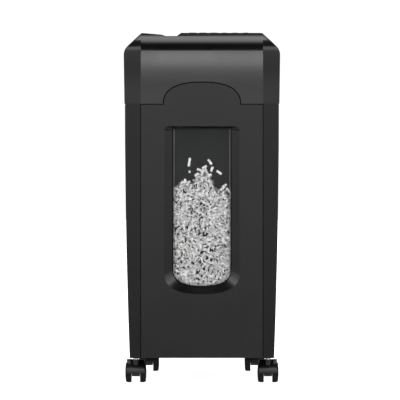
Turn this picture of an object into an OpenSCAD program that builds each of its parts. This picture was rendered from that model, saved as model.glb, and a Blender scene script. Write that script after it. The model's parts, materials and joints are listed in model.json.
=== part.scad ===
/* [Cabinet] */
// Height of the seam between the cabinet and the head
seam_z = 421.8; // [410:0.2:430]
// Height of the underside of the cabinet above the floor
base_z = 39; // [38:0.5:40]
// Overall depth, front to back
body_d = 345; // [345:1:352]
// Half-width of the cabinet at the seam
seam_half_w = 116.2; // [114:0.2:117]
// How far each side draws in from the seam to the base
side_bow = 7.2; // [6:0.2:8]
// Half-width of the flat front, between the facets
front_half_w = 92; // [91:0.5:93]
// Angle that each corner facet turns back from the front
facet_yaw = 37.3; // [35:0.1:40]
// Wall thickness of the cabinet
cabinet_wall = 2.6; // [2.4:0.1:3]

/* [Head] */
// Height of the top of the head
top_z = 529.8; // [526:0.2:532]
// Half-width of the head at its widest
head_half_w = 118.2; // [117:0.1:119]
// Slope of the chamfer along each top edge
top_chamfer = 43.2; // [42:0.2:45]
// Half-width of the head's flat top
top_half_w = 91.2; // [90:0.1:92]
// Radius where the chamfer meets the side
shoulder_r = 18; // [14:0.5:20]
// Radius of the gentle lean above the seam
lean_r = 259; // [257:1:262]
// Angle at which the lean meets the front roll
lean_angle = 18; // [17.5:0.1:18.5]
// Radius of the rear top edge
rear_r = 15; // [12:1:18]
// Wall thickness of the head cover
head_wall = 2.5; // [2.4:0.1:2.8]

/* [Feed] */
// Centre line of the feed slot and cutters
feed_x = -45; // [-46:0.5:-44]
// Width of the feed slot
slot_w = 8; // [7:0.5:9]
// Length of the feed slot
slot_len = 224; // [220:1:226]
// Depth of the feed groove below the top
groove_depth = 4.8; // [4.6:0.1:5.2]
// Height of the control deck above the cover
deck_rise = 3.5; // [3.2:0.1:3.6]

/* [Window] */
// Half-width of the window recess at the front
recess_half_w = 56.6; // [55:0.2:58]
// Height of the top of the window recess
recess_top = 388.8; // [384:0.2:392]
// Height of the lowest point of the window recess
recess_bottom = 135.8; // [130:0.2:138]
// Half-width of the window pane
pane_half_w = 43.2; // [42:0.1:45]
// Height of the lowest point of the pane
pane_bottom = 148.3; // [144:0.1:150]
// Depth of the recess to the pane
recess_depth = 9; // [8.6:0.1:9.2]

/* [Casters] */
// Radius of a caster wheel
wheel_r = 15.6; // [15:0.1:16]
// Distance from the swivel axis back to the axle
trail = 11; // [10:0.5:12]
// Overall width of a caster over its two wheels
caster_w = 32; // [30:0.5:33]
// Half the distance between the front swivel axes
front_track = 100.2; // [99:0.2:100.4]
// Half the distance between the rear swivel axes
rear_track = 83.5; // [83:0.5:88]

/* [Drive] */
// Number of cutter discs on each roll
discs = 28; // [20:1:28]
// Spacing of the discs along a roll
disc_pitch = 8; // [7.8:0.1:8]
// Radius over the cutter teeth
disc_r = 18; // [17:0.1:18]
// Distance between the two roll axes
roll_spacing = 29; // [29:0.1:30]

/* [Hidden] */

$fn = 64;
shell_black = "#26272a";
head_black = "#2c2d31";
deck_black = "#18181b";
steel = "#a9adb3";
gear_white = "#e4e2da";
copper = "#b8683c";
board_green = "#1e5b3a";

half_d = body_d / 2;
far = 400;
gap = 0.6;
seam_gap = 0.6;
rim_inset = 0.5;
arch_gap = 1.5;
run_fit = 0.05;
head_overhang = 0.6;

// ---- Outlines -------------------------------------------------------------

function arc(c, r, a0, a1, n) =
  [for (i = [0:n]) let (a = a0 + (a1 - a0) * i / n) [c[0] + r * cos(a), c[1] + r * sin(a)]];

function both_sides(pts) = concat(pts, [for (i = [len(pts) - 1:-1:0]) [-pts[i][0], pts[i][1]]]);

// Half-width of the cabinet at height z: the sides draw in towards the base.
function side_x(z) = seam_half_w - side_bow * pow((seam_z - z) / (seam_z - base_z), 2);

// Cabinet seen from the front, inset by i.
function cabinet_outline(i, z0, z1) =
  both_sides([for (k = [0:12]) let (z = z0 + (z1 - z0) * k / 12) [side_x(z) - i, z]]);

// Chamfer line of the head: sin * x + cos * z = chamfer_k.
chamfer_k = sin(top_chamfer) * top_half_w + cos(top_chamfer) * top_z;
shoulder_c = [
  head_half_w - shoulder_r,
  (chamfer_k - shoulder_r - sin(top_chamfer) * (head_half_w - shoulder_r)) / cos(top_chamfer)
];

// Head seen from the front, inset by i.
function head_outline(i) = both_sides(concat(
  [[seam_half_w + head_overhang - i, seam_z - 5]],
  arc(shoulder_c, shoulder_r - i, 0, 90 - top_chamfer, 6),
  [[(chamfer_k - i - cos(top_chamfer) * (top_z - i)) / sin(top_chamfer), top_z - i]]
));

lean_c = [lean_r - half_d, seam_z];
lean_end_z = seam_z + lean_r * sin(lean_angle);
roll_r = (top_z - lean_end_z) / (1 - sin(lean_angle));
roll_c = [lean_c[0] - (lean_r - roll_r) * cos(lean_angle), top_z - roll_r];

// Head seen from the side, inset by i: lean, front roll, flat top, rear edge, back.
function side_outline(i) = concat(
  [[i - half_d, seam_z - 5]],
  arc(lean_c, lean_r - i, 180, 180 - lean_angle, 5),
  arc(roll_c, roll_r - i, 180 - lean_angle, 90, 18),
  arc([half_d - rear_r, top_z - rear_r], rear_r - i, 90, 0, 8),
  [[half_d - i, seam_z - 5]]
);

// The same outline as the corner facets see it.
function facet_outline(i) =
  [for (p = side_outline(i)) [
    sign(p[0]) * (front_half_w * sin(facet_yaw) + abs(p[0]) * cos(facet_yaw) - i * (1 - cos(facet_yaw))),
    p[1]
  ]];

facet_reach = front_half_w * sin(facet_yaw) + half_d * cos(facet_yaw);
plan_x = 125;

// Cabinet seen from above, inset by i: a rectangle with its four corners cut off.
function plan_outline(i) =
  let (
    x0 = (facet_reach - i - (half_d - i) * cos(facet_yaw)) / sin(facet_yaw),
    y1 = (facet_reach - i - plan_x * sin(facet_yaw)) / cos(facet_yaw)
  )
  [
    [-x0, i - half_d], [x0, i - half_d], [plan_x, -y1], [plan_x, y1],
    [x0, half_d - i], [-x0, half_d - i], [-plan_x, y1], [-plan_x, -y1]
  ];

// Extrudes an outline drawn in X and Z along Y, between y0 and y1.
module along_y(y0, y1) translate([0, y1, 0]) rotate([90, 0, 0]) linear_extrude(y1 - y0) children();

// Extrudes an outline drawn in Y and Z along X, evenly about x = 0.
module along_x(w) rotate([90, 0, 90]) linear_extrude(w, center = true) children();

// A cylinder along Y or X, at a point in the other two axes.
module rod_y(x, z, r, y0, y1) translate([x, y1, z]) rotate([90, 0, 0]) cylinder(r = r, h = y1 - y0);
module rod_x(y, z, r, x0, x1) translate([x0, y, z]) rotate([0, 90, 0]) cylinder(r = r, h = x1 - x0);
module block(x0, x1, y0, y1, z0, z1) translate([x0, y0, z0]) cube([x1 - x0, y1 - y0, z1 - z0]);

module cabinet_form(i, z0, z1) intersection() {
  along_y(-half_d - 1, half_d + 1) polygon(cabinet_outline(i, z0, z1));
  translate([0, 0, z0 - 1]) linear_extrude(z1 - z0 + 2) polygon(plan_outline(i));
}

module head_form(i) intersection() {
  along_y(-half_d - 1, half_d + 1) polygon(head_outline(i));
  along_x(far) polygon(side_outline(i));
  rotate([0, 0, facet_yaw]) along_x(far) polygon(facet_outline(i));
  rotate([0, 0, -facet_yaw]) along_x(far) polygon(facet_outline(i));
}

// ---- Cabinet --------------------------------------------------------------

cabinet_top = seam_z - seam_gap;
door_half_w = front_half_w - 0.4;
rear_flange_x = front_half_w - 8;
return_x = front_half_w + gap;
return_d = 22;
screw_x = front_half_w - 4;
screw_zs = [70, 180, 290, 390];
screw_r = 1.5;
screw_head_r = 3;
screw_head_h = 1.5;

module rear_screws(extra) for (s = [-1, 1], z = screw_zs) {
  rod_y(s * screw_x, z, screw_r, half_d - 13, half_d - screw_head_h - 0.1);
  rod_y(s * screw_x, z, screw_head_r + extra, half_d - screw_head_h - 0.1, half_d - 0.1 + extra * 10);
}

module rim_plan(i) intersection() {
  polygon(plan_outline(i));
  square([2 * (seam_half_w - i), far], center = true);
}

// Low rim on the side panel that closes the shadow gap under the head.
module seam_rim() translate([0, 0, cabinet_top - 1]) linear_extrude(0.95 + 2 * seam_gap) difference() {
  rim_plan(rim_inset);
  rim_plan(cabinet_wall - 0.4);
  translate([return_x - far, -half_d - 1]) square([far, body_d + 2]);
}

// Right-hand panel: the side, both corner facets, the front return and the rear flange.
module side_panel() {
  color(shell_black) difference() {
    union() {
      panel_shell();
      seam_rim();
    }
    rear_screws(0.1);
  }
}

// Moulded shell of the panel, before its rim and screw holes.
module panel_shell() {
  intersection() {
    cabinet_form(0, base_z, cabinet_top);
    union() {
      difference() {
        union() {
          block(return_x, 130, -half_d - 1, half_d + 1, base_z, cabinet_top);
          block(rear_flange_x, 130, half_d - 20, half_d + 1, base_z, cabinet_top);
        }
        cabinet_form(cabinet_wall, base_z - 10, cabinet_top + 10);
      }
      block(return_x, return_x + cabinet_wall, -half_d, return_d - half_d, base_z, cabinet_top);
    }
  }
}

module left_side_panel() mirror([1, 0, 0]) side_panel();
module right_side_panel() side_panel();

module rear_panel() {
  lap = cabinet_wall + 2.8;
  color(shell_black) difference() {
    union() {
      block(0.3 - rear_flange_x, rear_flange_x - 0.3, half_d - cabinet_wall, half_d,
        base_z + 1, cabinet_top - 0.4);
      block(1 - front_half_w, front_half_w - 1, half_d - lap, half_d - cabinet_wall,
        base_z + 16, cabinet_top - 16);
    }
    rear_screws(0.1);
  }
}

module housing_screws() {
  color(steel) rear_screws(0);
}

floor_t = 3;
boss_r = 5.5;
boss_top = base_z + 14.5;
stem_r = 3.5;
front_caster_y = -135;
rear_caster_y = 130;
caster_spots = [
  [-front_track, front_caster_y], [front_track, front_caster_y],
  [-rear_track, rear_caster_y], [rear_track, rear_caster_y]
];

module base_tray() {
  fit = cabinet_wall + 0.2;
  rim = fit + 2.4;
  color(shell_black) difference() {
    union() {
      intersection() {
        cabinet_form(fit, base_z, base_z + 20);
        union() {
          block(-130, 130, 14.5 - half_d, half_d - 5.6, base_z, base_z + floor_t);
          for (p = caster_spots) translate([p[0], p[1], base_z]) cylinder(r = boss_r, h = boss_top - base_z);
        }
      }
      difference() {
        intersection() {
          cabinet_form(fit, base_z, base_z + 14);
          block(-130, 130, 24 - half_d, half_d - 5.6, base_z, base_z + 14);
        }
        cabinet_form(rim, base_z - 5, base_z + 30);
      }
    }
    for (p = caster_spots) translate([p[0], p[1], base_z - 1])
      cylinder(r = stem_r + run_fit, h = boss_top - base_z - 0.5);
    for (s = [-1, 1]) translate([s * (return_x + cabinet_wall / 2), 0, 0])
      block(-cabinet_wall / 2 - 0.2, cabinet_wall / 2 + 0.2, -half_d, return_d + 0.3 - half_d,
        base_z - 1, base_z + 20);
  }
}

tub_floor_z = boss_top + 0.9;
rail_x = 60;

module bin_rails() color(shell_black) for (s = [-1, 1]) difference() {
  block(s * rail_x - 5, s * rail_x + 5, 30 - half_d, half_d - 20, base_z + floor_t, tub_floor_z - 0.4);
  block(s * rail_x - 2.6, s * rail_x + 2.6, 29 - half_d, half_d - 19,
    base_z + floor_t - 1, tub_floor_z - 2.8);
}

// ---- Bin ------------------------------------------------------------------

panel_t = 2.5;
panel_bottom = base_z + 0.8;
arch_half_w = 57.4;
arch_top = 454.3;
arch_power = 2.45;
pane_y = -half_d + recess_depth;
pocket_floor_y = pane_y + 0.8;
pane_back_y = pocket_floor_y + 2;
bin_y0 = pane_back_y;
bin_y1 = 150;
tub_top = seam_z - 16;
tub_top_w = 88;
tub_bottom_w = 84;
tub_wall = 2.2;

// Quarter of a superellipse from [a, 0] to [0, b].
function quarter(a, b, power, n) =
  [for (i = [0:n]) let (t = 90 * i / n) [a * pow(cos(t), 2 / power), b * pow(sin(t), 2 / power)]];

// A U-shaped window outline: small top corners, straight sides and a wide curved bottom.
function u_half(w, z0, z1, bend, corner) = concat(
  [for (i = [14:-1:0]) let (p = quarter(w, bend, 2.4, 14)[i]) [max(p[0], 0), z0 + bend - p[1]]],
  arc([w - corner, z1 - corner], corner, 0, 90, 4)
);
function u_shape(w, z0, z1, bend, corner) =
  let (h = u_half(w, z0, z1, bend, corner))
  concat(h, [for (i = [len(h) - 1:-1:1]) [-h[i][0], h[i][1]]]);

recess_bend = 31;
pane_bend = 24;
recess_corner = 7;

function recess_u(grow) = u_shape(
  recess_half_w + grow, recess_bottom - grow, recess_top + grow, recess_bend, recess_corner + grow
);
function pane_u(grow) =
  u_shape(pane_half_w + grow, pane_bottom - grow, recess_top - 2 + grow, pane_bend, 4 + max(grow, -2));

// Arch that tops the bin's front and the notch in the head that receives it.
module arch(grow, y0, y1) along_y(y0, y1) polygon(concat(
  [[arch_half_w + grow, seam_z - 20]],
  [for (p = quarter(arch_half_w + grow, arch_top - seam_z + grow, arch_power, 16)) [p[0], seam_z + p[1]]],
  [for (i = [15:-1:0]) let (p = quarter(arch_half_w + grow, arch_top - seam_z + grow, arch_power, 16)[i])
    [-p[0], seam_z + p[1]]],
  [[-arch_half_w - grow, seam_z - 20]]
));

module bin_front_panel() {
  lip = 2.2;
  color(shell_black) difference() {
    union() {
      block(-door_half_w, door_half_w, -half_d, panel_t - half_d, panel_bottom, cabinet_top);
      arch(0, -half_d, panel_t - half_d);
      for (s = [-1, 1]) translate([s * (door_half_w - 1.3), 0, 0])
        block(-1.3, 1.3, -half_d, 14 - half_d, panel_bottom, cabinet_top - 4);
      block(-door_half_w, door_half_w, -half_d, 12 - half_d, panel_bottom, panel_bottom + 2.6);
      hull() {
        along_y(-half_d, 0.1 - half_d) polygon(recess_u(lip));
        along_y(pocket_floor_y - 0.1, pocket_floor_y) polygon(pane_u(lip + 2));
      }
    }
    hull() {
      along_y(-half_d - 0.01, 0.01 - half_d) polygon(recess_u(0));
      along_y(pane_y, pane_y + 0.05) polygon(pane_u(0));
    }
    along_y(pane_y - 0.5, pocket_floor_y + 1) polygon(pane_u(0));
  }
}

module window_pane() color("#9aa3ab", 0.35) union() {
  along_y(pane_y - 0.6, pocket_floor_y + 0.2) polygon(pane_u(-0.7));
  along_y(pocket_floor_y, pane_back_y) polygon(pane_u(3.4));
}

module tub_block(inset, z0, y0, y1) along_y(y0, y1) polygon([
  [inset - tub_bottom_w, z0], [tub_bottom_w - inset, z0],
  [tub_top_w - inset, tub_top + (inset > 0 ? 1 : 0)], [inset - tub_top_w, tub_top + (inset > 0 ? 1 : 0)]
]);

module bin_tub() color("#3a3b3f") difference() {
  tub_block(0, tub_floor_z, bin_y0, bin_y1);
  tub_block(tub_wall, tub_floor_z + tub_wall, bin_y0 + tub_wall, bin_y1 - tub_wall);
  along_y(bin_y0 - 1, bin_y0 + tub_wall + 1) polygon(pane_u(0.5));
}

heap_y0 = bin_y0 + tub_wall + 0.4;
heap_y1 = bin_y1 - tub_wall - 0.4;
heap_z0 = tub_floor_z + tub_wall + 0.3;
heap_left = 298.8;
heap_peak = 327.8;
heap_right = 292.8;

// Settled shreds: a wall-to-wall mass with a low uneven crown.
module shredded_paper() color("#d9d9d6") intersection() {
  along_y(heap_y0, heap_y1) polygon([
    [-tub_bottom_w + 2.8, heap_z0], [tub_bottom_w - 2.8, heap_z0],
    [tub_bottom_w + 0.4, heap_right - 6], [48, heap_right], [30, heap_right + 10], [14, heap_peak - 6],
    [2, heap_peak], [-14, heap_peak - 12], [-34, heap_left + 6], [-48, heap_left - 2],
    [-tub_bottom_w - 0.4, heap_left - 12]
  ]);
  along_x(far) polygon([
    [heap_y0, heap_z0 - 1], [heap_y1, heap_z0 - 1], [heap_y1, heap_right - 34], [70, heap_right - 6],
    [-20, heap_peak + 4], [-100, heap_peak + 2], [heap_y0, heap_peak]
  ]);
}

// ---- Head -----------------------------------------------------------------

head_bottom = seam_z + seam_gap;
groove_z = top_z - groove_depth;
deck_z = top_z - deck_rise;
deck_x0 = -36.4;
deck_lean = 5;
deck_x1 = 89;
deck_y0 = -135;
deck_y1 = 150;
control_y = -127;
control_pitch = 16;
control_x0 = -14;
button_r = 5.6;
lens_r = 4;
control_top = top_z + 0.5;
bay_x0 = -24;
bay_x1 = 80;
bay_y0 = -134;
bay_y1 = 142;
flange_half_w = 7.1;
flange_t = 1.5;
vents = 7;
vent_pitch = 9;
rocker_x = -62;
rocker_z = 455;
gland_x = 62;
gland_z = 446;
gland_r = 7.5;
cord_hole_r = 4;

function control_x(i) = control_x0 + control_pitch * i;

// Cut that forms the sloped guide, the feed groove and the seat of the deck.
module top_cut() along_y(-half_d - 2, half_d + 2) polygon([
  [0.4 - top_half_w, top_z], [-60.7, top_z - 2.7], [-54.7, groove_z], [-37.6, groove_z],
  [deck_x0, deck_z], [deck_x1 + 0.4, deck_z], [deck_x1 + 0.4, top_z + 5], [0.4 - top_half_w, top_z + 5]
]);

module rear_vents() for (i = [0:vents - 1]) translate([(i - (vents - 1) / 2) * vent_pitch, half_d, 462])
  cube([3, 12, 26], center = true);

module head_cover() color(head_black) difference() {
  head_form(0);
  difference() {
    head_form(head_wall);
    block(-63, deck_x1 + 2.9, -half_d, half_d, groove_z - head_wall, top_z + 5);
  }
  block(-130, 130, -half_d - 1, half_d + 1, seam_z - 8, head_bottom);
  top_cut();
  arch(arch_gap, -half_d - 2, 6 - half_d);
  block(bay_x0, bay_x1, bay_y0, bay_y1, groove_z - 8, top_z + 1);
  block(feed_x - flange_half_w - 0.1, feed_x + flange_half_w + 0.1, -slot_len / 2 - 8.1, slot_len / 2 + 8.1,
    groove_z - flange_t, groove_z + 1);
  block(feed_x - slot_w / 2 - 2.2, feed_x + slot_w / 2 + 2.2, -slot_len / 2 - 2.2, slot_len / 2 + 2.2,
    groove_z - 8, groove_z);
  rear_vents();
  block(rocker_x - 9, rocker_x + 9, half_d - 8, half_d + 1, rocker_z - 13, rocker_z + 13);
  rod_y(gland_x, gland_z, gland_r, half_d - 8, half_d + 1);
}

chute_x0 = -82;
chute_x1 = -8;
chute_y = 116;
plate_z0 = seam_z + 1.2;
plate_z1 = seam_z + 3.6;

// Floor of the head: plate, locating skirt, chute and the wall behind the arch.
module head_base() {
  fit = cabinet_wall + 0.3;
  color(shell_black) difference() {
    union() {
      intersection() {
        cabinet_form(fit, seam_z - 14, seam_z + 10);
        union() {
          block(-130, 130, 6 - half_d, half_d + 1, plate_z0, plate_z1);
          difference() {
            block(-130, 130, 24 - half_d, half_d + 1, seam_z - 13, plate_z0);
            cabinet_form(fit + 2.2, seam_z - 20, seam_z + 10);
          }
        }
      }
      block(chute_x0 - 2, chute_x1 + 2, -chute_y - 2, chute_y + 2, seam_z - 11, plate_z1);
      along_y(6 - half_d, 8 - half_d) polygon([
        [-64, plate_z0], [64, plate_z0], [64, seam_z + 26], [52, arch_top + 5],
        [-52, arch_top + 5], [-64, seam_z + 26]
      ]);
    }
    block(chute_x0, chute_x1, -chute_y, chute_y, seam_z - 20, plate_z1 + 1);
  }
}

throat_bottom = 482;
throat_wall = 1.8;

module feed_throat() color(deck_black) difference() {
  union() {
    block(feed_x - flange_half_w, feed_x + flange_half_w, -slot_len / 2 - 8, slot_len / 2 + 8,
      groove_z - flange_t, groove_z);
    block(feed_x - slot_w / 2 - throat_wall, feed_x + slot_w / 2 + throat_wall,
      -slot_len / 2 - throat_wall, slot_len / 2 + throat_wall, throat_bottom, groove_z);
  }
  block(feed_x - slot_w / 2, feed_x + slot_w / 2, -slot_len / 2, slot_len / 2,
    throat_bottom - 1, groove_z + 1);
}

board_z = 508;
board_t = 1.6;
post_spots = [[-16, -112], [74, -112], [-16, -30], [74, -30]];

module control_deck() color(deck_black) difference() {
  union() {
    along_y(deck_y0, deck_y1) polygon([
      [deck_x0, deck_z], [deck_x1, deck_z], [deck_x1, top_z], [deck_x0 + deck_lean, top_z]
    ]);
    for (p = post_spots) translate([p[0], p[1], board_z + board_t]) cylinder(r = 3, h = deck_z - board_z);
  }
  for (i = [0:2]) translate([control_x(i), control_y, deck_z - 1]) cylinder(r = button_r + 0.4, h = 8);
  for (i = [3:5]) translate([control_x(i), control_y, deck_z - 1]) cylinder(r = lens_r, h = 8);
  for (i = [0:8]) block(4 + 8 * i, 7 + 8 * i, 62, 132, deck_z - 1, top_z + 1);
}

module indicator_lenses() color("#8fa7b8") for (i = [3:5]) translate([control_x(i), control_y, 0]) {
  translate([0, 0, board_z + board_t + 6]) cylinder(r = lens_r, h = control_top - board_z - board_t - 6);
  translate([0, 0, deck_z - 1.6]) cylinder(r = lens_r + 1.2, h = 1.6);
}

switch_h = 4;

module push_button(i) color(deck_black) translate([control_x(i), control_y, 0]) {
  translate([0, 0, deck_z - 2.4]) cylinder(r = button_r, h = control_top - deck_z + 2.4);
  translate([0, 0, deck_z - 2.4]) cylinder(r = button_r + 0.9, h = 2);
  translate([0, 0, board_z + board_t + switch_h + 1.2])
    cylinder(r = 2, h = deck_z - board_z - board_t - switch_h - 2);
}

module power_button() push_button(0);
module reverse_button() push_button(1);
module forward_button() push_button(2);

module control_board() color(board_green) {
  block(-20, 78, -118, -24, board_z, board_z + board_t);
  block(-14, 10, -96, -70, board_z, board_z + 12);
  block(18, 44, -94, -62, board_z, board_z + 13);
  block(52, 70, -96, -60, board_z, board_z + 9);
  for (x = [-8, 8, 24]) translate([x, -48, board_z]) cylinder(r = 5.5, h = 12);
  block(42, 70, -50, -32, board_z, board_z + 8);
  block(control_x(0) - 7, control_x(2) + 7, control_y - 5, -117, board_z, board_z + board_t);
  for (i = [0:2]) translate([control_x(i), control_y, board_z]) cylinder(r = 3, h = board_t + switch_h);
}

module cord_gland() color(deck_black) difference() {
  union() {
    rod_y(gland_x, gland_z, gland_r, half_d - 12.5, half_d);
    rod_y(gland_x, gland_z, gland_r + 2, half_d - 8, half_d - head_wall);
  }
  rod_y(gland_x, gland_z, cord_hole_r, half_d - 14, half_d + 1);
}

rocker_half = [4.6, 8.6];
rocker_pivot_y = half_d - 9;
rocker_tilt = 7;
rocker_pin_r = 1.4;

module rocker_housing() color(deck_black) difference() {
  block(rocker_x - 9, rocker_x + 9, half_d - 24, half_d, rocker_z - 13, rocker_z + 13);
  block(rocker_x - rocker_half[0] - 0.5, rocker_x + rocker_half[0] + 0.5, half_d - 19, half_d + 1,
    rocker_z - 10.4, rocker_z + 10.4);
  rod_x(rocker_pivot_y, rocker_z, rocker_pin_r + run_fit, rocker_x - 7.2, rocker_x + 7.2);
}

module rocker_switch() color("#222226") {
  translate([rocker_x, rocker_pivot_y, rocker_z]) rotate([rocker_tilt, 0, 0]) along_x(rocker_half[0] * 2)
    polygon([
      [-5, -4], [1, -rocker_half[1]], [7.2, -rocker_half[1]], [6.1, 0],
      [7.2, rocker_half[1]], [1, rocker_half[1]], [-5, 4]
    ]);
  rod_x(rocker_pivot_y, rocker_z, rocker_pin_r, rocker_x - 7, rocker_x + 7);
}

// ---- Cutters and drive ----------------------------------------------------

roll_z = 460;
roll_a = feed_x + roll_spacing / 2;
roll_b = feed_x - roll_spacing / 2;
core_r = 10.4;
journal_r = 7.5;
seat_r = 6;
core_half = 115;
plate_y = 119;
plate_t = 3;
bush_r = 10;
disc_t = 3.6;
teeth_per_disc = 12;

sync_teeth = 14;
final_teeth = 40;
idler_pinion_teeth = 12;
idler_teeth = 48;
motor_teeth = 12;
final_module = 1.5;
motor_module = 1;
mesh_slack = 0.12;
pressure_angle = 20;
idler_dir = 13;
motor_dir = -10.5;
final_gap = (final_teeth + idler_pinion_teeth) * final_module / 2 + mesh_slack;
motor_gap = (idler_teeth + motor_teeth) * motor_module / 2 + mesh_slack;
idler_at = [roll_a + final_gap * cos(idler_dir), roll_z + final_gap * sin(idler_dir)];
motor_at = [idler_at[0] + motor_gap * cos(motor_dir), idler_at[1] + motor_gap * sin(motor_dir)];

// Angle, in degrees, that an involute has turned by the time it reaches radius r.
function involute(rb, r) = r <= rb ? 0 : let (t = sqrt(pow(r / rb, 2) - 1)) t * 180 / PI - atan(t);

// One tooth's points about the +X direction, root to tip and back.
function tooth(n, m) =
  let (
    rp = n * m / 2,
    rb = rp * cos(pressure_angle),
    half = 90 / n - 0.03 * 180 / (PI * rp) + involute(rb, rp),
    root = rp - 1.25 * m,
    steps = [max(rb, root + 0.02), rp * 0.5 + max(rb, root) * 0.5, rp, rp + 0.55 * m, rp + m],
    right = concat([[root, half]], [for (r = steps) [r, half - involute(rb, r)]])
  )
  concat(
    [for (p = right) p[0] * [cos(-p[1]), sin(-p[1])]],
    [for (i = [len(right) - 1:-1:0]) right[i][0] * [cos(right[i][1]), sin(right[i][1])]]
  );

// A spur gear along Y with a tooth pointing in the direction aim of the X-Z plane.
module gear(at, n, m, bore, y0, y1, aim) translate([at[0], 0, at[1]]) difference() {
  along_y(y0, y1) rotate(aim) polygon(
    [for (k = [0:n - 1]) for (p = tooth(n, m)) let (a = 360 * k / n)
      [p[0] * cos(a) - p[1] * sin(a), p[0] * sin(a) + p[1] * cos(a)]]
  );
  rod_y(0, 0, bore, y0 - 1, y1 + 1);
}

// Aim that puts a gap, not a tooth, towards direction dir.
function gap_aim(dir, n) = dir - 180 / n;

sync_y = [-137, -128];
final_y = [133, 141];
idler_y = [125, 131];

module sync_gear_a() color(steel)
  gear([roll_a, roll_z], sync_teeth, roll_spacing / sync_teeth - 0.012, seat_r, sync_y[0], sync_y[1], 180);
module sync_gear_b() color(steel)
  gear([roll_b, roll_z], sync_teeth, roll_spacing / sync_teeth - 0.012, seat_r, sync_y[0], sync_y[1],
    gap_aim(0, sync_teeth));
module final_gear() color(steel)
  gear([roll_a, roll_z], final_teeth, final_module, seat_r, final_y[0], final_y[1], idler_dir);

module reduction_gear() color(gear_white) {
  gear(idler_at, idler_teeth, motor_module, pin_r + run_fit, idler_y[0], idler_y[1], motor_dir);
  gear(idler_at, idler_pinion_teeth, final_module, pin_r + run_fit, idler_y[1], final_y[1] + 1,
    gap_aim(idler_dir + 180, idler_pinion_teeth));
}

pin_r = 4;
cover_y = [146, 148];

module idler_pin() color(steel)
  rod_y(idler_at[0], idler_at[1], pin_r, plate_y, cover_y[1]);

module roll_shaft(x, rear_end) {
  rod_y(x, roll_z, core_r, -core_half, core_half);
  rod_y(x, roll_z, journal_r, -plate_y - 8, plate_y + 6);
  rod_y(x, roll_z, seat_r, -138, rear_end);
}

module cutter_shaft_a() color(steel) roll_shaft(roll_a, 143);
module cutter_shaft_b() color(steel) roll_shaft(roll_b, plate_y + 6);

// Hooked outline of one disc: each tooth rises steeply and falls away behind.
function disc_outline() =
  [for (k = [0:teeth_per_disc - 1]) for (s = [[0, disc_r], [7, disc_r], [24, disc_r - 1.9]])
    let (a = 360 * k / teeth_per_disc + s[0]) s[1] * [cos(a), sin(a)]];

module disc_row(x, shift, twist) for (k = [0:discs - 1])
  let (y = (k - (discs - 1) / 2) * disc_pitch + shift)
  translate([x, 0, roll_z]) difference() {
    along_y(y - disc_t / 2, y + disc_t / 2) rotate(twist * k) polygon(disc_outline());
    rod_y(0, 0, core_r, y - disc_t, y + disc_t);
  }

module cutter_discs_a() color(steel) disc_row(roll_a, disc_pitch / 4, 9);
module cutter_discs_b() color(steel) disc_row(roll_b, -disc_pitch / 4, -9);

rod_spots = [[-78, 431], [-78, 481], [-11, 431], [-9, 482]];
spacer_spots = [[-74, 490], [52, 430], [56, 494]];

module bush_holes(y0, y1) for (x = [roll_a, roll_b]) rod_y(x, roll_z, bush_r, y0, y1);

module front_bearing_plate() color(steel) difference() {
  block(-85, 0, -plate_y - plate_t, -plate_y, plate_z1, 488);
  bush_holes(-plate_y - 5, -plate_y + 1);
}

module rear_bearing_plate() color(steel) difference() {
  block(-85, 78, plate_y, plate_y + plate_t, plate_z1, 500);
  bush_holes(plate_y - 1, plate_y + 5);
  rod_y(idler_at[0], idler_at[1], pin_r, plate_y - 1, plate_y + 5);
  rod_y(motor_at[0], motor_at[1], 8.5, plate_y - 1, plate_y + 5);
}

module gear_cover_plate() color(steel) difference() {
  block(-80, 62, cover_y[0], cover_y[1], plate_z1 + 1, 500);
  rod_y(idler_at[0], idler_at[1], pin_r, cover_y[0] - 1, cover_y[1] + 1);
}

module frame_tie_rods() color(steel) {
  for (p = rod_spots) rod_y(p[0], p[1], 3, -plate_y, plate_y);
  for (p = spacer_spots) rod_y(p[0], p[1], 3, plate_y + plate_t, cover_y[0]);
}

module shaft_bushes() color(copper) for (x = [roll_a, roll_b], s = [-1, 1]) difference() {
  rod_y(x, roll_z, bush_r, s * (plate_y + 1) - 4, s * (plate_y + 1) + 4);
  rod_y(x, roll_z, journal_r + run_fit, s * (plate_y + 1) - 5, s * (plate_y + 1) + 5);
}

// Combs whose fingers keep shreds from riding round in the gaps between discs.
comb_t = 3;
module comb(x, side, shift) {
  inner = x + side * (core_r + 0.6);
  outer = x + side * 24;
  block(min(outer, outer - side * 3.5), max(outer, outer - side * 3.5), -plate_y, plate_y,
    roll_z - 10, roll_z + 10);
  for (k = [0:discs - 2]) let (y = (k - (discs - 2) / 2) * disc_pitch + shift)
    block(min(inner, outer), max(inner, outer), y - comb_t / 2, y + comb_t / 2, roll_z - 5, roll_z + 5);
}

module stripper_combs() color(deck_black) {
  comb(roll_a, 1, disc_pitch / 4);
  comb(roll_b, -1, -disc_pitch / 4);
}

motor_r = 30;
rotor_r = 20;
motor_shaft_r = 3;
motor_y = [44, 108];

module motor_stator() color(copper) difference() {
  rod_y(motor_at[0], motor_at[1], motor_r, motor_y[0], motor_y[1]);
  rod_y(motor_at[0], motor_at[1], rotor_r + 0.5, motor_y[0] - 1, motor_y[1] + 1);
}

module motor_end_caps() color(steel) difference() {
  union() {
    rod_y(motor_at[0], motor_at[1], motor_r, motor_y[0] - 4, motor_y[0]);
    rod_y(motor_at[0], motor_at[1], motor_r, motor_y[1], motor_y[1] + 4);
    rod_y(motor_at[0], motor_at[1], 14, motor_y[1] + 2, plate_y);
  }
  rod_y(motor_at[0], motor_at[1], motor_shaft_r + run_fit, motor_y[0] - 6, plate_y + 1);
}

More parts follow.
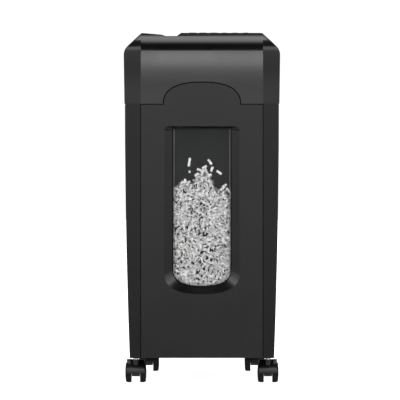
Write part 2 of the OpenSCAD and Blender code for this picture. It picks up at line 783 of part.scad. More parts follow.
module motor_rotor() color(steel) {
  rod_y(motor_at[0], motor_at[1], motor_shaft_r, 26, idler_y[1] + 1);
  rod_y(motor_at[0], motor_at[1], rotor_r, motor_y[0] + 6, motor_y[1] - 6);
  gear(motor_at, motor_teeth, motor_module, motor_shaft_r - 0.5, idler_y[0], idler_y[1],
    gap_aim(motor_dir + 180, motor_teeth));
}

module cooling_fan() color(deck_black) translate([motor_at[0], 0, motor_at[1]]) difference() {
  union() {
    rod_y(0, 0, 8, 28, 37);
    rod_y(0, 0, 25, 35.5, 37);
    for (a = [0:40:320]) rotate([0, a, 0]) block(6, 23.5, 29, 36, -0.8, 0.8);
  }
  rod_y(0, 0, motor_shaft_r, 20, 40);
}

module paper_sensor() color(deck_black) for (s = [-1, 1])
  let (x = feed_x + s * (slot_w / 2 + throat_wall + 4.5)) block(x - 4.5, x + 4.5, -6, 6, 498, 507);

module bin_switch() color(deck_black) {
  block(60, 80, 154, 166, seam_z - 18, plate_z0);
  block(66, 74, 150.6, 155, seam_z - 17.5, seam_z - 16.7);
}

// ---- Casters --------------------------------------------------------------

hood_r = 19.8;
hood_inner_r = wheel_r + 1.1;
hood_half_w = 13.6;
web_half_w = 6;
axle_r = 2;
hood_top = wheel_r + hood_r;
wheel_in = web_half_w + 0.5;

// Yoke about its swivel axis: hood over the wheels, central web and stem boss.
module caster_yoke(p) color(deck_black) translate([p[0], p[1], 0]) difference() {
  union() {
    difference() {
      rod_x(trail, wheel_r, hood_r, -hood_half_w, hood_half_w);
      rod_x(trail, wheel_r, hood_inner_r, -hood_half_w - 1, -web_half_w);
      rod_x(trail, wheel_r, hood_inner_r, web_half_w, hood_half_w + 1);
      block(-20, 20, trail - 30, trail + 30, -10, wheel_r - 1.5);
      translate([0, trail, wheel_r]) rotate([40, 0, 0]) block(-20, 20, 0, 30, -30, 0);
    }
    rod_x(trail, wheel_r, 6.6, -web_half_w, web_half_w);
    difference() {
      translate([0, 0, 21]) cylinder(r = 5.4, h = hood_top - 21);
      rod_x(trail, wheel_r, hood_inner_r, -20, 20);
    }
  }
  rod_x(trail, wheel_r, axle_r, -20, 20);
  translate([0, 0, 24]) cylinder(r = stem_r, h = 20);
}

// Steel stem and axle pin of one caster.
module caster_pins(p) color(steel) translate([p[0], p[1], 0]) {
  difference() {
    translate([0, 0, 24]) cylinder(r = stem_r, h = boss_top - 26);
    rod_x(trail, wheel_r, hood_inner_r - 1, -20, 20);
  }
  rod_x(trail, wheel_r, axle_r, -caster_w / 2 + 2, caster_w / 2 - 2);
}

// One wheel: flat tread, rounded shoulder and shallow domed outer face.
module wheel(p, side) color("#151517") translate([p[0], p[1] + trail, wheel_r]) rotate([0, 90 * side, 0])
  rotate_extrude($fn = 96) polygon(concat(
    [[axle_r + run_fit, wheel_in], [wheel_r - 0.6, wheel_in], [wheel_r, wheel_in + 0.6]],
    arc([wheel_r - 4, caster_w / 2 - 4.2], 4, 0, 60, 6),
    [[6, caster_w / 2], [0, caster_w / 2], [0, caster_w / 2 - 1.5], [axle_r + run_fit, caster_w / 2 - 1.5]]
  ));

module caster_yoke_fl() caster_yoke(caster_spots[0]);
module caster_yoke_fr() caster_yoke(caster_spots[1]);
module caster_yoke_rl() caster_yoke(caster_spots[2]);
module caster_yoke_rr() caster_yoke(caster_spots[3]);
module caster_pins_fl() caster_pins(caster_spots[0]);
module caster_pins_fr() caster_pins(caster_spots[1]);
module caster_pins_rl() caster_pins(caster_spots[2]);
module caster_pins_rr() caster_pins(caster_spots[3]);
module wheel_fl_outer() wheel(caster_spots[0], -1);
module wheel_fl_inner() wheel(caster_spots[0], 1);
module wheel_fr_outer() wheel(caster_spots[1], 1);
module wheel_fr_inner() wheel(caster_spots[1], -1);
module wheel_rl_outer() wheel(caster_spots[2], -1);
module wheel_rl_inner() wheel(caster_spots[2], 1);
module wheel_rr_outer() wheel(caster_spots[3], 1);
module wheel_rr_inner() wheel(caster_spots[3], -1);

left_side_panel();
right_side_panel();
rear_panel();
base_tray();
bin_rails();
housing_screws();
head_cover();
head_base();
feed_throat();
control_deck();
indicator_lenses();
cord_gland();
power_button();
reverse_button();
forward_button();
rocker_switch();
rocker_housing();
front_bearing_plate();
rear_bearing_plate();
gear_cover_plate();
frame_tie_rods();
idler_pin();
shaft_bushes();
stripper_combs();
motor_stator();
motor_end_caps();
control_board();
paper_sensor();
bin_switch();
cutter_shaft_a();
cutter_discs_a();
sync_gear_a();
final_gear();
cutter_shaft_b();
cutter_discs_b();
sync_gear_b();
reduction_gear();
motor_rotor();
cooling_fan();
bin_front_panel();
bin_tub();
window_pane();
shredded_paper();
caster_yoke_fl();
caster_pins_fl();
wheel_fl_outer();
wheel_fl_inner();
caster_yoke_fr();
caster_pins_fr();
wheel_fr_outer();
wheel_fr_inner();
caster_yoke_rl();
caster_pins_rl();
wheel_rl_outer();
wheel_rl_inner();
caster_yoke_rr();
caster_pins_rr();
wheel_rr_outer();
wheel_rr_inner();
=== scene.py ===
import json
import math
import random

import bpy
from mathutils import Matrix, Vector


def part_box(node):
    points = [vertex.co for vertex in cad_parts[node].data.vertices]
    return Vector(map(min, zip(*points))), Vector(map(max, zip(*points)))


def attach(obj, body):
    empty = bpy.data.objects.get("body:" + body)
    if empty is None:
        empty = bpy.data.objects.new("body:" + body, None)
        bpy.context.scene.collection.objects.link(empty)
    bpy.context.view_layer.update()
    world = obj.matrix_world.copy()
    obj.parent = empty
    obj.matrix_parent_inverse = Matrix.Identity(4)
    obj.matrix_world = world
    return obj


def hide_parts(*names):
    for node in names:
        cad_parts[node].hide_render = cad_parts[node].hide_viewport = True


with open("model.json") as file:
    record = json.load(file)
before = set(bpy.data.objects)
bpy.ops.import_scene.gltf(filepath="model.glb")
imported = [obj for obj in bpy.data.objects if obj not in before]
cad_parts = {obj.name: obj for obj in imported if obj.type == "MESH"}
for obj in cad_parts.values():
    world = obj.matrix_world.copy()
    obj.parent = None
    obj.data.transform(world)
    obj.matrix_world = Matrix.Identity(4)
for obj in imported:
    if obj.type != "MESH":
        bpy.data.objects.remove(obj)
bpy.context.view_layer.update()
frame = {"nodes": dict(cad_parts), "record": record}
nodes = frame["nodes"]
scene = bpy.context.scene
MM = 0.001


# ---- Camera, light and floor ----------------------------------------------

FRONT_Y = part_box("bin_front_panel")[0].y
CAMERA_DISTANCE = 6.0
CAMERA_HEIGHT = 0.41
CAMERA_X = -0.0029
CAMERA_SEES_TO = 50
AIM_HEIGHT = 0.2778
VIEW_WIDTH = 0.6015
SENSOR_WIDTH = 36
FLOOR_REACH = 9
FLOOR_GLOW = 0.93
BACKDROP_GLOW = 1.05

# The studio. Its values were set and adjusted until the black plastic took the photograph's tones
# from the front, so they suit that view best and are not those of a real room.
# Directions are unit vectors: -Y is towards the camera, and Z is the sine of the elevation.
ROOM_PEAK = 6.5
# degrees above the horizon and brightness there, towards the camera and away from it
FRONT_GLOW = ((-90, 0.9), (-25, 0.9), (-15, 0.02), (-7, 0.01), (-4, 0.06), (-1, 0.95), (3, 1.7), (17, 1.15),
              (25, 2.1), (30, 5.2), (34, 6.3), (37, 0.1), (41, 0.01), (72, 0.01), (78, 0.7), (83, 2.0),
              (90, 3.1))
BACK_GLOW = ((-90, 0.06), (-40, 0.3), (-25, 1.1), (-8, 1.1), (-1, 0.1), (31, 0.03), (44, 0.1), (54, 0.6),
             (62, 2.0), (72, 2.9), (90, 3.0))
# one changes into the other between these values of Y
FRONT_TO_BACK = (-0.12, 0.12)
# share of the light lost straight out to each side, low down and high up, and the values of Z there
SIDE_LOSS = (0.40, 0.74)
SIDE_LOSS_HEIGHTS = (0.1, 0.4)
# distance of a direction from the middle along X, and how much of the side box is there
FLANK_BOX = ((0.0, 0.0), (0.28, 0.0), (0.45, 1.0), (0.8, 1.0), (0.9, 0.0))
FLANK_PEAK = 1.7
FLANK_MIDDLE = 0.15
FLANK_HALF_HEIGHT = 0.27


def mesh_object(name, points, faces, material):
    """A new mesh object at the origin, in one material."""
    mesh = bpy.data.meshes.new(name)
    mesh.from_pydata(points, [], faces)
    mesh.materials.append(material)
    thing = bpy.data.objects.new(name, mesh)
    scene.collection.objects.link(thing)
    return thing


def map_range(tree, value, from_span, to_span=(0, 1), kind="LINEAR"):
    """Turns a value's place in one span into the same place in another."""
    node = tree.nodes.new("ShaderNodeMapRange")
    node.interpolation_type = kind
    for socket, number in zip(("From Min", "From Max", "To Min", "To Max"), (*from_span, *to_span)):
        node.inputs[socket].default_value = number
    tree.links.new(value, node.inputs["Value"])
    return node.outputs["Result"]


def make_camera():
    """Long lens, above the middle of the cabinet and looking slightly down, square to the narrow front."""
    data = bpy.data.cameras.new("camera")
    data.sensor_width = SENSOR_WIDTH
    data.lens = SENSOR_WIDTH * CAMERA_DISTANCE / VIEW_WIDTH
    data.clip_end = CAMERA_SEES_TO
    camera = bpy.data.objects.new("camera", data)
    scene.collection.objects.link(camera)
    camera.location = (CAMERA_X, FRONT_Y - CAMERA_DISTANCE, CAMERA_HEIGHT)
    aim = Vector((CAMERA_X, FRONT_Y, AIM_HEIGHT)) - camera.location
    camera.rotation_euler = aim.to_track_quat("-Z", "Y").to_euler()
    scene.camera = camera


def make_world():
    """A studio of soft boxes round a black product, seen by the camera as plain white paper."""
    world = bpy.data.worlds.new("studio")
    scene.world = world
    world.use_nodes = True
    tree = world.node_tree
    tree.nodes.clear()
    link = tree.links.new

    def maths(operation, *values):
        node = tree.nodes.new("ShaderNodeMath")
        node.operation = operation
        for socket, value in zip(node.inputs, values):
            if isinstance(value, (int, float)):
                socket.default_value = value
            else:
                link(value, socket)
        return node.outputs[0]

    def ramp(position, steps, kind="LINEAR"):
        """Level along a value from 0 to 1, given as pairs of place and level."""
        node = tree.nodes.new("ShaderNodeValToRGB")
        node.color_ramp.interpolation = kind
        link(position, node.inputs[0])
        for k, (place, level) in enumerate(steps):
            element = node.color_ramp.elements[k] if k < 2 else node.color_ramp.elements.new(place)
            element.position = place
            element.color = (level, level, level, 1)
        return node.outputs[0]

    def glow(steps):
        return ramp(elevation, [((degrees + 90) / 180, level / ROOM_PEAK) for degrees, level in steps])

    coords = tree.nodes.new("ShaderNodeTexCoord")
    split = tree.nodes.new("ShaderNodeSeparateXYZ")
    link(coords.outputs["Generated"], split.inputs[0])
    across, along, up = (split.outputs[axis] for axis in "XYZ")
    elevation = maths("ADD", maths("DIVIDE", maths("ARCSINE", up), math.pi), 0.5)
    mix = tree.nodes.new("ShaderNodeMix")
    mix.data_type = "RGBA"
    link(map_range(tree, along, FRONT_TO_BACK, kind="SMOOTHSTEP"), mix.inputs["Factor"])
    link(glow(FRONT_GLOW), mix.inputs["A"])
    link(glow(BACK_GLOW), mix.inputs["B"])
    # the boxes stand in front and behind, so it is dimmer straight out to each side
    sideways = maths("MULTIPLY", across, across)
    loss = map_range(tree, up, SIDE_LOSS_HEIGHTS, SIDE_LOSS)
    dim = maths("SUBTRACT", 1.0, maths("MULTIPLY", sideways, loss))
    # a tall box to each side of the camera, which flat fronts and corner facets do not mirror
    ahead = maths("LESS_THAN", along, 0.0)
    level = maths("COMPARE", up, FLANK_MIDDLE, FLANK_HALF_HEIGHT)
    flank = maths("MULTIPLY", ramp(maths("ABSOLUTE", across), FLANK_BOX, "EASE"), FLANK_PEAK)
    side_box = maths("MULTIPLY", flank, maths("MULTIPLY", ahead, level))
    room = tree.nodes.new("ShaderNodeBackground")
    link(mix.outputs["Result"], room.inputs["Color"])
    link(maths("MULTIPLY", dim, ROOM_PEAK), room.inputs["Strength"])
    boxes = tree.nodes.new("ShaderNodeBackground")
    link(side_box, boxes.inputs["Strength"])
    lit = tree.nodes.new("ShaderNodeAddShader")
    link(room.outputs[0], lit.inputs[0])
    link(boxes.outputs[0], lit.inputs[1])
    paper = tree.nodes.new("ShaderNodeBackground")
    paper.inputs["Color"].default_value = (1, 1, 1, 1)
    paper.inputs["Strength"].default_value = BACKDROP_GLOW
    rays = tree.nodes.new("ShaderNodeLightPath")
    pick = tree.nodes.new("ShaderNodeMixShader")
    link(rays.outputs["Is Camera Ray"], pick.inputs[0])
    link(lit.outputs[0], pick.inputs[1])
    link(paper.outputs[0], pick.inputs[2])
    output = tree.nodes.new("ShaderNodeOutputWorld")
    link(pick.outputs[0], output.inputs["Surface"])


def make_floor():
    """Pale floor that looks white to the camera, hidden from the rays that would light or mirror it."""
    material = bpy.data.materials.new("floor_pale")
    material.use_nodes = True
    shader = material.node_tree.nodes["Principled BSDF"]
    shader.inputs["Base Color"].default_value = (0.93, 0.93, 0.93, 1)
    shader.inputs["Roughness"].default_value = 0.9
    shader.inputs["Specular IOR Level"].default_value = 0.1
    shader.inputs["Emission Color"].default_value = (1, 1, 1, 1)
    shader.inputs["Emission Strength"].default_value = FLOOR_GLOW
    corners = [(x * FLOOR_REACH, y * FLOOR_REACH, 0) for x, y in ((-1, -1), (1, -1), (1, 1), (-1, 1))]
    floor = mesh_object("floor", corners, [(0, 1, 2, 3)], material)
    floor.visible_diffuse = False
    floor.visible_glossy = False


make_camera()
make_world()
make_floor()
scene.view_settings.view_transform = "Standard"


# ---- Materials ------------------------------------------------------------

# most of a noise texture's values lie in this span
NOISE_SPAN = (0.3, 0.7)


class Recipe:
    """A small helper that builds one Principled material out of procedural nodes."""

    def __init__(self, name, base, roughness, metallic=0.0, specular=0.5):
        self.material = bpy.data.materials.new(name)
        self.material.use_nodes = True
        self.tree = self.material.node_tree
        self.shader = self.tree.nodes["Principled BSDF"]
        self.shader.inputs["Base Color"].default_value = (*base, 1)
        self.shader.inputs["Roughness"].default_value = roughness
        self.shader.inputs["Metallic"].default_value = metallic
        self.shader.inputs["Specular IOR Level"].default_value = specular
        self.base = base
        self.roughness = roughness
        self.normal = None
        self.coords = self.tree.nodes.new("ShaderNodeTexCoord").outputs["Object"]

    def noise(self, scale, detail, stretch=(1, 1, 1)):
        place = self.tree.nodes.new("ShaderNodeMapping")
        place.inputs["Scale"].default_value = stretch
        self.tree.links.new(self.coords, place.inputs["Vector"])
        texture = self.tree.nodes.new("ShaderNodeTexNoise")
        texture.inputs["Scale"].default_value = scale
        texture.inputs["Detail"].default_value = detail
        self.tree.links.new(place.outputs[0], texture.inputs["Vector"])
        return texture.outputs["Fac"]

    def cells(self, scale):
        texture = self.tree.nodes.new("ShaderNodeTexVoronoi")
        texture.inputs["Scale"].default_value = scale
        self.tree.links.new(self.coords, texture.inputs["Vector"])
        return texture.outputs["Distance"]

    def bump(self, height, strength, distance):
        node = self.tree.nodes.new("ShaderNodeBump")
        node.inputs["Strength"].default_value = strength
        node.inputs["Distance"].default_value = distance
        self.tree.links.new(height, node.inputs["Height"])
        if self.normal:
            self.tree.links.new(self.normal, node.inputs["Normal"])
        self.normal = node.outputs["Normal"]
        self.tree.links.new(self.normal, self.shader.inputs["Normal"])

    def vary_roughness(self, value, spread):
        limits = (self.roughness - spread, self.roughness + spread)
        self.tree.links.new(map_range(self.tree, value, NOISE_SPAN, limits), self.shader.inputs["Roughness"])

    def vary_colour(self, value, darker, lighter):
        node = self.tree.nodes.new("ShaderNodeMix")
        node.data_type = "RGBA"
        node.inputs["A"].default_value = (*[c * darker for c in self.base], 1)
        node.inputs["B"].default_value = (*[min(c * lighter, 1) for c in self.base], 1)
        self.tree.links.new(map_range(self.tree, value, NOISE_SPAN), node.inputs["Factor"])
        self.tree.links.new(node.outputs["Result"], self.shader.inputs["Base Color"])


def moulded(name, base, roughness, grain=1500, grain_depth=0.25, specular=0.5):
    """Moulded plastic: fine spark-eroded grain, faint flow marks and a little handling sheen."""
    recipe = Recipe(name, base, roughness, specular=specular)
    recipe.bump(recipe.noise(grain, 3), grain_depth, 0.00006)
    recipe.bump(recipe.noise(14, 1), 0.04, 0.0004)
    recipe.vary_roughness(recipe.noise(22, 4), 0.02)
    recipe.vary_colour(recipe.noise(6, 3), 0.93, 1.07)
    return recipe.material


def brushed(name, base, roughness, along):
    """Turned or rolled metal: fine lines along one axis, with dull patches."""
    stretch = {"x": (0.03, 1, 1), "y": (1, 0.03, 1), "z": (1, 1, 0.03)}[along]
    recipe = Recipe(name, base, roughness, metallic=1.0)
    recipe.bump(recipe.noise(1400, 2, stretch), 0.3, 0.00005)
    recipe.vary_roughness(recipe.noise(60, 4), 0.09)
    recipe.vary_colour(recipe.noise(25, 3), 0.85, 1.1)
    return recipe.material


MATERIALS = {
    "cabinet_black": moulded("cabinet_black", (0.0048, 0.0048, 0.005), 0.25),
    "bin_front_black": moulded("bin_front_black", (0.0050, 0.0050, 0.0052), 0.23),
    "head_black": moulded("head_black", (0.0030, 0.0030, 0.0032), 0.19, grain_depth=0.10),
    "deck_black": moulded("deck_black", (0.0045, 0.0045, 0.0047), 0.5,
                          grain=900, grain_depth=0.4, specular=0.3),
    "button_black": moulded("button_black", (0.009, 0.009, 0.0095), 0.35),
    "tub_black": moulded("tub_black", (0.045, 0.045, 0.046), 0.45),
    "caster_black": moulded("caster_black", (0.0035, 0.0035, 0.0037), 0.3, specular=0.4),
    "wheel_black": moulded("wheel_black", (0.0025, 0.0025, 0.0026), 0.5, specular=0.2),
    "comb_plastic": moulded("comb_plastic", (0.03, 0.03, 0.03), 0.55),
    "sensor_black": moulded("sensor_black", (0.02, 0.02, 0.02), 0.5),
    "gear_nylon": moulded("gear_nylon", (0.76, 0.74, 0.68), 0.45),
    "pin_steel": brushed("pin_steel", (0.58, 0.59, 0.61), 0.3, "z"),
    "plate_steel": brushed("plate_steel", (0.52, 0.53, 0.54), 0.38, "x"),
    "cutter_steel": brushed("cutter_steel", (0.40, 0.40, 0.42), 0.32, "y"),
    "gear_steel": brushed("gear_steel", (0.44, 0.44, 0.46), 0.33, "y"),
    "bush_bronze": brushed("bush_bronze", (0.60, 0.38, 0.18), 0.36, "y"),
    "motor_lamination": brushed("motor_lamination", (0.28, 0.28, 0.30), 0.5, "x"),
    "motor_steel": brushed("motor_steel", (0.50, 0.51, 0.52), 0.34, "y"),
    "board_green": moulded("board_green", (0.02, 0.13, 0.06), 0.3),
}


def lens_material():
    """Frosted plastic of the indicator lamps."""
    recipe = Recipe("indicator_lens", (0.16, 0.18, 0.20), 0.12)
    recipe.bump(recipe.cells(900), 0.2, 0.0001)
    recipe.shader.inputs["Transmission Weight"].default_value = 0.35
    return recipe.material


def pane_material():
    """Clear moulded window: mostly see-through, with a grey base colour that is painted reflection standing
    in for the pane's faded gloss, faint waviness and rub marks.
    """
    recipe = Recipe("pane_clear", (0.32, 0.325, 0.33), 0.08)
    recipe.shader.inputs["Alpha"].default_value = 0.05
    recipe.bump(recipe.noise(9, 1), 0.05, 0.0006)
    recipe.vary_roughness(recipe.noise(40, 4), 0.03)
    return recipe.material


MATERIALS["indicator_lens"] = lens_material()
MATERIALS["pane_clear"] = pane_material()


def paper_material():
    """Office paper, with the grey smear of print on some slips."""
    recipe = Recipe("shreds_white", (0.88, 0.88, 0.875), 0.85, specular=0.2)
    recipe.bump(recipe.noise(2600, 2), 0.2, 0.00004)
    recipe.vary_colour(recipe.noise(300, 1), 0.52, 1.13)
    return recipe.material


def shade_mass_material():
    """Painted shade: a dark, lumpy mass seen between the slips, standing in for the shadow in the gaps of the
    white paper.
    """
    recipe = Recipe("shred_shade_mass", (0.025, 0.025, 0.025), 0.9, specular=0.1)
    recipe.bump(recipe.cells(240), 0.9, 0.002)
    recipe.vary_colour(recipe.noise(300, 3), 0.5, 1.6)
    return recipe.material


MATERIALS["shreds_white"] = paper_material()
MATERIALS["shred_shade_mass"] = shade_mass_material()
# a near-black matt strip in the gap outside the window: painted shade; also put on the inner wall behind the
# arch and seam
MATERIALS["painted_shade_black"] = moulded("painted_shade_black", (0.002, 0.002, 0.002), 0.85, specular=0.08)
# a lighter grey strip on the window's rim: painted highlight where the pane's edge would catch the light
MATERIALS["painted_rim_highlight"] = moulded("painted_rim_highlight", (0.21, 0.215, 0.22), 0.3)

slot_of_node = {part["node"]: part["material_slot"] for part in frame["record"]["subparts"]}
for name, piece in nodes.items():
    piece.data.materials.clear()
    piece.data.materials.append(MATERIALS[slot_of_node[name]])

# the inner wall behind the arch and the seam gets a darker, matt black than the cabinet: painted shade, so
# the gaps read as dark lines
nodes["head_base"].data.materials[0] = MATERIALS["painted_shade_black"]


# ---- Edges of the CAD pieces ----------------------------------------------

JOIN_REACH = 0.004 * MM
FLAT_ANGLE = math.radians(0.3)
SHARP_ANGLE = math.radians(28)


def soften(name, width):
    """Rounds a CAD piece's hard edges a little and smooths its curved faces."""
    piece = nodes[name]
    weld = piece.modifiers.new("join_faces", "WELD")
    weld.merge_threshold = JOIN_REACH
    flat = piece.modifiers.new("merge_flat", "DECIMATE")
    flat.decimate_type = "DISSOLVE"
    flat.angle_limit = FLAT_ANGLE
    rounding = piece.modifiers.new("edge_radius", "BEVEL")
    rounding.width = width * MM
    rounding.segments = 2
    rounding.limit_method = "ANGLE"
    rounding.angle_limit = SHARP_ANGLE
    piece.data.shade_smooth()
    even = piece.modifiers.new("even_normals", "WEIGHTED_NORMAL")
    even.mode = "FACE_AREA"
    even.weight = 50


# in millimetres
EDGE_RADII = {
    "head_cover": 0.45, "bin_front_panel": 0.2, "left_side_panel": 0.6, "right_side_panel": 0.6,
    "rear_panel": 0.5, "control_deck": 0.5, "window_pane": 0.9, "feed_throat": 0.4,
    "power_button": 0.7, "reverse_button": 0.7, "forward_button": 0.7, "indicator_lenses": 0.6,
    "rocker_switch": 0.5, "rocker_housing": 0.4, "cord_gland": 0.6,
}
YOKE_RADIUS = 0.5
for name, width in EDGE_RADII.items():
    soften(name, width)
for name in nodes:
    if name.startswith("caster_yoke"):
        soften(name, YOKE_RADIUS)


# ---- Shreds ---------------------------------------------------------------

rng = random.Random(7)
heap_low, heap_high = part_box("shredded_paper")
pane_low, pane_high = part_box("window_pane")
CHIP_THICK = 0.25 * MM
# widths and lengths in millimetres, and how far one slip's may differ from them
CHIP_SIZES = ((2.2, 4), (2.6, 6), (2.8, 8), (3.0, 10), (3.3, 5), (2.1, 7))
WIDTH_FACTORS = (0.85, 1.1)
LENGTH_FACTORS = (0.7, 1.1)
WINDOW_SLIPS = 2350
WINDOW_TILT = 0.62
SURFACE_SLIPS = 2300
SURFACE_TILT = 0.5

# the settled surface: a hump near the middle, a bank on the left and a step down on the right
SURFACE_DROP = 36 * MM
HUMP_X = 4 * MM
HUMP_RISE = 24 * MM
HUMP_SPREAD_LEFT = 19 * MM
HUMP_SPREAD_RIGHT = 14 * MM
BANK_X = -20 * MM
BANK_RISE = 4 * MM
STEP_X = 13 * MM
STEP_RUN = 11 * MM
STEP_DROP = 9 * MM
REAR_DROP = 26 * MM
REAR_NARROWING = 0.3


def heap_top(x):
    """Height of the settled surface behind the window, from one side of the tub to the other."""
    spread = HUMP_SPREAD_RIGHT if x > HUMP_X else HUMP_SPREAD_LEFT
    hump = HUMP_RISE * math.exp(-(((x - HUMP_X) / spread) ** 2))
    step = STEP_DROP * min(max((x - STEP_X) / STEP_RUN, 0), 1)
    bank = BANK_RISE if x < BANK_X else 0
    ripple = 3.5 * MM * math.sin(x * 230 + 1.1) + 2 * MM * math.sin(x * 610)
    return heap_high.z - SURFACE_DROP - step + hump + ripple + bank


def heap_depth_top(x, y):
    """The same surface further back, where it falls away towards the rear."""
    back = (y - heap_low.y) / (heap_high.y - heap_low.y)
    ripple = 1.8 * MM * math.sin(y * 310 + x * 190)
    return heap_top(x * (1 - REAR_NARROWING * back)) - REAR_DROP * back * back + ripple


class ChipPile:
    """Collects many small curled slips of paper as closed slabs in one mesh."""

    def __init__(self):
        self.points, self.faces = [], []

    def add(self, centre, turn, width, length, curl, y_min):
        """One slip, curled along its length, and moved back if any of it comes in front of y_min."""
        corners = []
        for place in (-0.5, 0.0, 0.5):
            rise = curl * (4 * place * place - 0.5)
            for side in (-0.5, 0.5):
                for face in (-0.5, 0.5):
                    corners.append(Vector((place * length, side * width, rise + face * CHIP_THICK)))
        placed = [turn @ corner + centre for corner in corners]
        push = max(0.0, y_min - min(point.y for point in placed))
        placed = [point + Vector((0, push, 0)) for point in placed]
        base = len(self.points)
        self.points.extend(placed)
        for k in (0, 4):
            self.faces += [
                [base + k + 1, base + k + 3, base + k + 7, base + k + 5],
                [base + k, base + k + 4, base + k + 6, base + k + 2],
                [base + k, base + k + 1, base + k + 5, base + k + 4],
                [base + k + 2, base + k + 6, base + k + 7, base + k + 3],
            ]
        self.faces += [
            [base, base + 2, base + 3, base + 1],
            [base + 8, base + 9, base + 11, base + 10],
        ]


def random_lie(tilt):
    """A slip lying roughly flat on the heap."""
    spin = Matrix.Rotation(rng.uniform(0, math.tau), 3, "Z")
    lean = Matrix.Rotation(rng.gauss(0, tilt), 3, "X") @ Matrix.Rotation(rng.gauss(0, tilt), 3, "Y")
    return lean @ spin


# stands a slip that lies flat up against the window
FACE_OUT = Matrix.Rotation(math.radians(90), 3, "X")


def random_turn(tilt):
    """A slip lying roughly flat against the window, turned at random in its own plane."""
    return FACE_OUT @ random_lie(tilt)


def chip_size():
    width, length = rng.choice(CHIP_SIZES)
    return width * MM * rng.uniform(*WIDTH_FACTORS), length * MM * rng.uniform(*LENGTH_FACTORS)


PANE_GAP = 0.4 * MM
PANE_BORDER = 3.4 * MM
TUB_WALL = 2.2 * MM
WALL_GAP = 0.2 * MM
# the window's foot is a superellipse of this height and power
FOOT_BEND = 24 * MM
FOOT_POWER = 2.4
# share of a slip's reach that counts when it is tested against the window's outline
REACH_SHARE = 0.6
window_half = (pane_high.x - pane_low.x) / 2 - PANE_BORDER
window_foot = pane_low.z + PANE_BORDER
glass_back = pane_high.y + PANE_GAP
wall_back = pane_high.y + TUB_WALL + WALL_GAP


def curve_hides(x, z, reach):
    """True where the window's curved foot or straight side would cut into a slip."""
    margin = reach * REACH_SHARE
    across = abs(x) + margin
    if across > window_half:
        return True
    rise = (window_foot + FOOT_BEND - z + margin) / FOOT_BEND
    if rise <= 0:
        return False
    return across / window_half > max(0.0, 1 - min(rise, 1) ** FOOT_POWER) ** (1 / FOOT_POWER)


def window_chips(pile, count):
    """Slips pressed against the window, several layers deep."""
    for _ in range(count):
        x = rng.uniform(-window_half - 4 * MM, window_half + 4 * MM)
        z = rng.uniform(window_foot - 6 * MM, heap_top(x) + 3 * MM)
        width, length = chip_size()
        reach = length / 2 + 1 * MM
        near_wall = abs(x) + reach > window_half or z - reach < window_foot + FOOT_BEND
        limit = wall_back if near_wall and curve_hides(x, z, reach) else glass_back
        centre = Vector((x, glass_back + rng.uniform(0.5 * MM, 6.5 * MM), z))
        pile.add(centre, random_turn(WINDOW_TILT), width, length, rng.uniform(-1.2 * MM, 1.2 * MM), limit)


def surface_chips(pile, count):
    """Slips lying over the top of the heap, back to the rear of the tub."""
    inset = 7 * MM
    for _ in range(count):
        x = rng.uniform(heap_low.x + inset, heap_high.x - inset)
        y = rng.uniform(heap_low.y + inset, heap_high.y - inset)
        width, length = chip_size()
        centre = Vector((x, y, heap_depth_top(x, y) + rng.uniform(-3 * MM, 3 * MM)))
        turn = random_lie(SURFACE_TILT)
        pile.add(centre, turn, width, length, rng.uniform(-0.9 * MM, 0.9 * MM), wall_back)


# places, given one by one: across and up in millimetres, turn in degrees, length in millimetres
CLINGING = ((-19, 334.5, 82, 13), (12, 335, -55, 9), (15, 324, 68, 8), (26, 319, -35, 9), (-18.5, 320, 10, 3),
            (31, 295, 40, 9), (34, 299, 35, 8), (40, 292, -50, 9), (4, 327, 30, 8), (-4, 323, -20, 7),
            (8, 318, -60, 8), (-8, 316, 35, 7), (12, 315, 20, 6), (0, 318, 75, 7), (-26, 306, 70, 7))
CLINGING_WIDTH = 3.6 * MM
CLINGING_GAP = 0.6 * MM
CLINGING_CURL = 0.3 * MM


def clinging_chips(pile):
    """A few slips that static holds to the inside of the window, above the heap."""
    for x, z, angle, length in CLINGING:
        turn = FACE_OUT @ Matrix.Rotation(math.radians(angle), 3, "Z")
        centre = Vector((x * MM, glass_back + CLINGING_GAP, z * MM))
        pile.add(centre, turn, CLINGING_WIDTH, length * MM, CLINGING_CURL, glass_back)


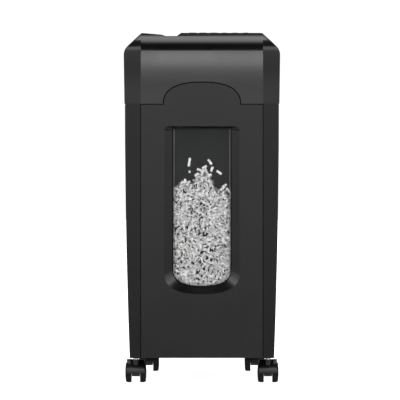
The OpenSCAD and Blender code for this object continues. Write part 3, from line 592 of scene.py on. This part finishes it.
def heap_shade_mass():
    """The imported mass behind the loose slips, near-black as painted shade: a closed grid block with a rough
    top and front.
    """
    across, deep, tall = 22, 26, 12
    x0, x1 = heap_low.x + 2 * MM, heap_high.x - 2 * MM
    y0, y1 = heap_low.y + 7.2 * MM, heap_high.y - 2 * MM
    below_slips = 4 * MM
    foot_taper = 0.045
    roughness, front_roughness = 1.2 * MM, 1.4 * MM
    points, index, faces = [], {}, []

    def point(i, j, k):
        key = (i, j, k)
        if key not in index:
            x = x0 + (x1 - x0) * i / across
            y = y0 + (y1 - y0) * j / deep
            top = heap_depth_top(x, y) - below_slips
            z = heap_low.z + (top - heap_low.z) * k / tall
            taper = 1 - foot_taper * (1 - k / tall)
            rough = roughness if 0 < i < across and 0 < j < deep else 0
            push = rng.uniform(0, front_roughness) if j == 0 else 0
            index[key] = len(points)
            points.append((x * taper, y + push, z + rng.uniform(-rough, rough)))
        return index[key]

    def sheet(a_count, b_count, make, flip):
        for a in range(a_count):
            for b in range(b_count):
                quad = [make(a, b), make(a + 1, b), make(a + 1, b + 1), make(a, b + 1)]
                faces.append(quad[::-1] if flip else quad)

    sheet(across, deep, lambda a, b: point(a, b, 0), True)
    sheet(across, deep, lambda a, b: point(a, b, tall), False)
    sheet(across, tall, lambda a, b: point(a, 0, b), False)
    sheet(across, tall, lambda a, b: point(a, deep, b), True)
    sheet(deep, tall, lambda a, b: point(0, a, b), True)
    sheet(deep, tall, lambda a, b: point(across, a, b), False)
    return mesh_object("shred_shade_mass", points, faces, MATERIALS["shred_shade_mass"])


RIM_BORDER = 4.1 * MM
RIM_BEND = 23 * MM
RIM_TOP_GAP = 6 * MM
RIM_STEPS = 24


def pane_edge(name, inset, half_width, proud):
    """A fine strip that follows the window's outline: a painted highlight on its rim, or a painted-shade dark
    strip in the gap outside it.
    """
    half = (pane_high.x - pane_low.x) / 2 - RIM_BORDER - inset
    foot = pane_low.z + RIM_BORDER + inset
    path = [(half, pane_high.z - RIM_TOP_GAP)]
    for k in range(RIM_STEPS + 1):
        angle = math.pi / 2 * k / RIM_STEPS
        x = half * max(math.cos(angle), 0) ** (2 / FOOT_POWER)
        path.append((x, foot + RIM_BEND - RIM_BEND * math.sin(angle) ** (2 / FOOT_POWER)))
    path += [(-x, z) for x, z in path[-2::-1]]
    points, faces = [], []
    for k, (x, z) in enumerate(path):
        ahead, behind = path[min(k + 1, len(path) - 1)], path[max(k - 1, 0)]
        along = Vector((ahead[0] - behind[0], 0, ahead[1] - behind[1])).normalized()
        out = Vector((-along.z, 0, along.x))
        # the strip is narrower in front than at its back
        for side, depth in ((-1, proud), (-0.6, -proud), (0.6, -proud), (1, proud)):
            points.append(Vector((x, pane_low.y + depth, z)) + out * side * half_width)
    for k in range(len(path) - 1):
        a, b = 4 * k, 4 * k + 4
        for i in range(4):
            j = (i + 1) % 4
            faces.append([a + i, a + j, b + j, b + i])
    faces += [[3, 2, 1, 0], [4 * len(path) - 4 + i for i in range(4)]]
    edge = mesh_object(name, points, faces, MATERIALS[name])
    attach(edge, "bin")


# painted highlight along the window's rim
pane_edge("painted_rim_highlight", 0.4 * MM, 0.4 * MM, 0.3 * MM)
# painted shade: a dark strip in the gap outside the window
pane_edge("painted_shade_black", -0.9 * MM, 0.4 * MM, 0.6 * MM)
chip_pile = ChipPile()
window_chips(chip_pile, WINDOW_SLIPS)
surface_chips(chip_pile, SURFACE_SLIPS)
clinging_chips(chip_pile)
chips = mesh_object("shred_slips", chip_pile.points, chip_pile.faces, MATERIALS["shreds_white"])
# the dark mass behind the slips is painted shade for the gaps of the heap
shade_mass = heap_shade_mass()
for piece in (chips, shade_mass):
    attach(piece, "bin")
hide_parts("shredded_paper")
